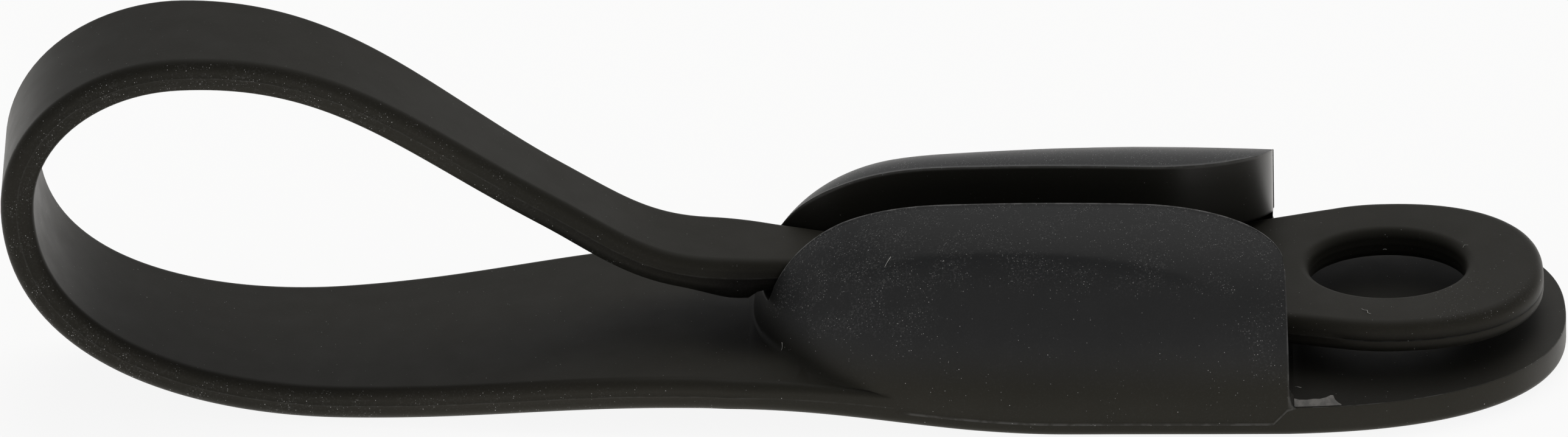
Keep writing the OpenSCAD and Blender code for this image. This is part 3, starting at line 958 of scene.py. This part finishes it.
def dust_and_light_cover(at):
    """The loose grains alone, and all the dust together with the light painted on the hood's flank."""
    shoulder = (1 - at.x.step(-28, -19)) * at.z.step(4.5, 7.5)
    end_band = at.x.step(-4.5, -2.0) * at.z.step(3.0, 5.5)
    on_hood = at.outside * (shoulder * 1.2 + at.z.step(8.2, 9.4) * 0.9 + end_band * 0.5 + 0.06)
    steep = at.sideways.maths("ABSOLUTE", at.sideways).step(0.35, 0.9)
    on_edge = steep * (1 - at.outside) * (1 - at.x.step(-66, -30))
    on_ring = at.x.step(6, 11) * (1 - at.y.step(-4, 0)) * at.z.step(4.9, 5.5) * (1 - at.outside)
    settled = (on_hood + on_edge * 0.6 + on_ring * 0.35) * (0.15 + at.cloud.step(0.4, 0.62) * 1.2)
    grains = specks(at.place, 0.13, 0.036, settled + 0.02 + at.line * 0.3)
    flecks = specks(at.place, 0.8, 0.06, 0.06 + settled * 0.4 + at.line * 0.12)
    loose = (grains + flecks).clamped()
    # Dust film and painted light: it lifts the hood's flank, is weakest round the nose and thinner on the top.
    dust_film_and_painted_light = at.outside * at.z.step(3.0, 6.0) * (0.2 + at.x.step(-33, -29) * 0.8) * (1 - at.top_band * 0.7)
    mottle = noise(at.place, 7.0, 2.0, 0.6).step(0.48, 0.7)
    # The top of the plate's round end is drawn a little paler.
    plate_end = at.x.step(13.5, 17.5) * (1 - at.z.step(2.4, 2.9))
    fine = mottle * (0.006 + settled * 0.04) + plate_end * 0.05
    dashes = noise(at.place, 1.1, 3.0).step(0.44, 0.58)
    cover = loose + dust_film_and_painted_light * (0.028 + at.cloud * 0.014) + fine + at.line * (0.12 + dashes * 0.22)
    return loose, cover.clamped()


print("dust colour:", DUST[:3])

# %% [markdown]
# ## The whole finish
# The dust, and the light painted with it, lies over the body colour. The roughness wanders a little, and a very fine
# grain bends the light. The walls of the slot, which the blasting didn't reach, are a little shinier, so they get a
# thin coat.

# %% Silicone finish


def silicone():
    material, wire = new_tree("black_silicone")
    at = surface(wire)
    loose, cover = dust_and_light_cover(at)
    rough = 0.52 + (at.cloud - 0.5) * 0.12 + (at.tone - 0.5) * 0.08 + loose * 0.25
    height = noise(at.place, 9.0, 2.0, 0.6) + loose * 2
    bump = wire.node("ShaderNodeBump", None, {"Strength": 0.12, "Distance": 0.00003, "Height": height})
    shader = wire.node("ShaderNodeBsdfPrincipled", None, {
        "Base Color": cover.mix(body_colour(at), DUST), "Roughness": rough, "Normal": bump,
        "Coat Weight": at.slot * 0.45 + at.outside * at.top_band * 0.045, "Coat Roughness": 0.35, "Coat IOR": 1.4,
        "Specular IOR Level": 0.05, "IOR": 1.41, "Sheen Weight": 0.01, "Sheen Roughness": 0.3})
    wire.node("ShaderNodeOutputMaterial", None, {"Surface": shader})
    return material


moulding.data.materials.clear()
moulding.data.materials.append(silicone())
print("nodes in the silicone:", len(moulding.data.materials[0].node_tree.nodes))

# %% [markdown]
# ## Lint
# Soft silicone picks up lint. A hair system would scatter fibres at random, so each one is a thin closed tube along
# a few points. The points are brought to the nearest place on the moulding, so that the fibre touches it at both
# ends and arches a little between them.

# %% Fibres
FIBRES = [
    [(-31.80, -6.70, 3.60), (-31.74, -6.74, 3.74), (-31.72, -6.74, 3.9), (-31.78, -6.70, 4.04),
     (-31.88, -6.64, 4.1)],
    [(-25.15, -8.06, 9.84), (-25.0, -7.86, 10.02), (-24.75, -7.44, 10.24)],
    [(4.85, -7.0, 5.57), (5.0, -7.25, 5.62), (5.2, -7.35, 5.64), (5.22, -7.7, 5.6), (5.4, -7.8, 5.57)],
    [(11.7, 2.1, 5.5), (11.8, 2.25, 5.58), (12.05, 2.3, 5.58)],
    [(6.75, 4.95, 4.18), (6.85, 4.93, 4.23), (6.98, 4.95, 4.18)],
    [(0.45, -11.2, 2.24), (0.6, -11.3, 2.3), (0.85, -11.35, 2.26)],
]
FIBRE_R, FIBRE_SIDES, FIBRE_LIFT = 0.017, 6, 0.05

skin_tree = BVHTree.FromPolygons([v.co / MM for v in moulding.data.vertices],
                                 [tuple(face.vertices) for face in moulding.data.polygons])


def laid(path):
    """The path brought to the surface: touching at its ends, lifted between them."""
    places = []
    for k, point in enumerate(path):
        at, normal, index, distance = skin_tree.find_nearest(Vector(point))
        places.append(at + normal * FIBRE_LIFT * math.sin(math.pi * k / (len(path) - 1)))
    return places


def tube(path, points, faces):
    """Adds a thin closed tube along a path."""
    first = len(points)
    for k, at in enumerate(path):
        way = (path[min(k + 1, len(path) - 1)] - path[max(k - 1, 0)]).normalized()
        across = way.cross(Vector((0.3, 0.2, 1))).normalized()
        other = way.cross(across)
        for j in range(FIBRE_SIDES):
            q = 2 * math.pi * j / FIBRE_SIDES
            points.append(at + FIBRE_R * (math.cos(q) * across + math.sin(q) * other))
    for k in range(len(path) - 1):
        for j in range(FIBRE_SIDES):
            a, b = first + k * FIBRE_SIDES + j, first + k * FIBRE_SIDES + (j + 1) % FIBRE_SIDES
            faces.append((a, b, b + FIBRE_SIDES, a + FIBRE_SIDES))
    faces.append(tuple(range(first, first + FIBRE_SIDES)))
    faces.append(tuple(range(len(points) - FIBRE_SIDES, len(points))))


def pale(name, first, second, scale):
    """A matt finish that wanders between two colours."""
    material, wire = new_tree(name)
    cloud = noise(place_in_mm(wire), scale)
    shader = wire.node("ShaderNodeBsdfPrincipled", None, {
        "Base Color": cloud.step(0.35, 0.65).mix(first, second), "Roughness": 0.5 + cloud * 0.3})
    wire.node("ShaderNodeOutputMaterial", None, {"Surface": shader})
    return material


def dress(piece, finish):
    """Gives a small piece its finish and its place on the part."""
    piece.data.materials.append(finish)
    piece.data.transform(Matrix.Scale(MM, 4))
    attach(piece, "root")
    print(piece.name, "open edges:", open_edges(piece))


fibre_points, fibre_faces = [], []
for path in FIBRES:
    tube(laid(path), fibre_points, fibre_faces)
dress(make_piece("lint", fibre_points, fibre_faces),
      pale("pale_lint", (0.22, 0.22, 0.21, 1), (0.5, 0.5, 0.48, 1), 2.0))

# %% [markdown]
# ## The burr
# Where the open end meets the plate a thin pale burr of flash was left standing on the plate's edge. It is a low
# ragged wall that follows the plate's outline and leans inwards, thinner at its top.

# %% Burr
BURR = [(0.3, 0.5), (0.6, 0.42), (1.1, 0.4), (1.5, 0.44), (1.9, 0.42), (2.3, 0.5), (2.6, 0.62), (2.75, 0.6),
        (2.85, 0.36), (3.05, 0.16), (3.25, 0.04)]
BURR_T, BURR_LEAN, BURR_IN, BURR_SINK = 0.1, 0.35, 0.08, 0.06


def burr():
    points, faces = [], []
    for x, height in BURR:
        q = math.acos((x / BASE_END) ** (BASE_FULL / 2))
        y = BURR_IN - end_point(q, BASE_END, HALF_W, BASE_FULL)[1]
        low, high = BASE_TOP - BURR_SINK, BASE_TOP + height
        points += [(x, y, low), (x, y + BURR_LEAN * height, high), (x, y + BURR_LEAN * height + BURR_T / 2, high),
                   (x, y + BURR_T * 1.5, low)]
    for k in range(len(BURR) - 1):
        for j in range(4):
            a, b = 4 * k + j, 4 * k + (j + 1) % 4
            faces.append((a, b, b + 4, a + 4))
    faces += [(0, 1, 2, 3), tuple(range(len(points) - 4, len(points)))]
    return make_piece("burr", points, faces)


dress(burr(), pale("pale_burr", (0.03, 0.029, 0.027, 1), (0.075, 0.072, 0.068, 1), 2.2))

# %% [markdown]
# ## The adhesive pad
# Under the plate a pale foam pad with glue on both sides fills the recess. The CAD solid has the right shape,
# so it stays and only gets a finish: off-white foam with small closed cells and a slightly shiny glue film.

# %% Foam finish


def foam():
    material, wire = new_tree("adhesive_foam")
    place = place_in_mm(wire)
    cells = wire.node("ShaderNodeTexVoronoi", {"feature": "F1"}, {"Vector": place, "Scale": 3.2})
    stain = noise(place, 0.25, 3.0)
    pale = stain.step(0.3, 0.7).mix((0.62, 0.59, 0.52, 1), (0.50, 0.47, 0.40, 1))
    colour = (cells.step(0.1, 0.55) * 0.35).mix(pale, (0.36, 0.34, 0.29, 1))
    rough = 0.5 + cells.step(0.1, 0.6) * 0.3
    bump = wire.node("ShaderNodeBump", None, {"Strength": 0.4, "Distance": 0.00008, "Height": cells})
    shader = wire.node("ShaderNodeBsdfPrincipled", None, {"Base Color": colour, "Roughness": rough, "Normal": bump})
    wire.node("ShaderNodeOutputMaterial", None, {"Surface": shader})
    return material


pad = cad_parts["adhesive_pad"]
pad.data.materials.clear()
pad.data.materials.append(foam())
print("pad finish set")

# %% [markdown]
# ## The white floor
# The holder lies on a white sweep. More light on it would bleach the object too. So the floor shows its own white to
# the camera and in reflections, keeps a faint shadow, and is plain white paper for the light that bounces.

# %% White floor
FLOOR_R, FLOOR_Z, FLOOR_GLOW = 3.0, -0.00002, 0.9


def seen(wire):
    """1 for what the camera sees, straight on, in a gloss or through glass, and 0 for bounced light."""
    path = wire.node("ShaderNodeLightPath", None, None, "Is Camera Ray")
    return (path + path.other("Is Glossy Ray") + path.other("Is Transmission Ray")).clamped()


def white_floor():
    material, wire = new_tree("white_floor")
    paper = wire.node("ShaderNodeBsdfDiffuse", None, {"Color": (0.9, 0.9, 0.89, 1)})
    glow = wire.node("ShaderNodeEmission", None, {"Color": (1, 1, 1, 1), "Strength": 1.0})
    both = wire.node("ShaderNodeMixShader", None, {0: seen(wire) * FLOOR_GLOW, 1: paper, 2: glow})
    wire.node("ShaderNodeOutputMaterial", None, {"Surface": both})
    return material


corners = [(-FLOOR_R, -FLOOR_R), (FLOOR_R, -FLOOR_R), (FLOOR_R, FLOOR_R), (-FLOOR_R, FLOOR_R)]
floor = make_piece("floor", [(x, y, FLOOR_Z) for x, y in corners], [(0, 1, 2, 3)])
floor.data.materials.append(white_floor())
print("floor:", 2 * FLOOR_R, "m wide")

# %% [markdown]
# ## World and lamps
# The world is white to the camera and gives a weak even light. A large soft lamp above and behind makes the
# gentle top light. Such photographs are taken on a light table. So a second soft lamp, which the camera doesn't
# see, lies on the floor and lights the edges from below. One sun would be simpler, but its shadows are hard.

# %% White world
WORLD_LIGHT = 0.3
world = bpy.data.worlds.new("white_studio")
bpy.context.scene.world = world
world.use_nodes = True
world.node_tree.nodes.clear()
sky = Wire(world.node_tree)
background = sky.node("ShaderNodeBackground", None, {
    "Color": (1, 1, 1, 1), "Strength": WORLD_LIGHT + seen(sky) * (1 - WORLD_LIGHT)})
sky.node("ShaderNodeOutputWorld", None, {"Surface": background})
print("light of the world:", WORLD_LIGHT)

# %% Lamps
LAMP_COLOUR, TABLE_LAMP_Z = (1.0, 0.975, 0.945), 0.0001
MIDDLE = Vector((-0.0314, 0, 0.00969))


def soft_lamp(name, place, aim, size, power):
    lamp = bpy.data.lights.new(name, "AREA")
    lamp.shape, lamp.size, lamp.energy, lamp.color = "DISK", size, power, LAMP_COLOUR
    made = bpy.data.objects.new(name, lamp)
    made.location = place
    made.rotation_euler = (Vector(aim) - Vector(place)).to_track_quat("-Z", "Y").to_euler()
    bpy.context.scene.collection.objects.link(made)
    return made


top_lamp = soft_lamp("top_lamp", (0.08, 0.45, 0.9), MIDDLE, size=0.9, power=5.0)
table_lamp = soft_lamp("table_lamp", (MIDDLE.x, 0, TABLE_LAMP_Z), (MIDDLE.x, 0, 1), size=0.6, power=1.45)
table_lamp.visible_camera = False
print("lamps:", top_lamp.name, table_lamp.name)

# %% [markdown]
# ## The camera
# The photograph looks at the side from a little above, from far away, so lines stay almost parallel. The camera
# stands a metre off with a long lens, and it is rolled by a degree and a half.

# %% Camera
ELEVATION, ROLL, DISTANCE, PIXELS_PER_MM, IMAGE_W = math.radians(24.24), 0.0262, 1.0, 25.93, 2576
camera_data = bpy.data.cameras.new("camera")
camera_data.sensor_fit, camera_data.sensor_width = "HORIZONTAL", 36.0
camera_data.lens = 36.0 * PIXELS_PER_MM * DISTANCE / MM / IMAGE_W
camera_data.clip_end = 20
camera = bpy.data.objects.new("camera", camera_data)
bpy.context.scene.collection.objects.link(camera)
back = Vector((0, -math.cos(ELEVATION), math.sin(ELEVATION)))
right, up = Vector((1, 0, 0)), Vector((0, math.sin(ELEVATION), math.cos(ELEVATION)))
rolled_right = right * math.cos(ROLL) - up * math.sin(ROLL)
rolled_up = right * math.sin(ROLL) + up * math.cos(ROLL)
turn = Matrix((rolled_right, rolled_up, back)).transposed().to_4x4()
camera.matrix_world = Matrix.Translation(MIDDLE + back * DISTANCE) @ turn
bpy.context.scene.camera = camera
bpy.context.scene.view_settings.view_transform = "Standard"
print("lens:", round(camera_data.lens, 1), "mm")
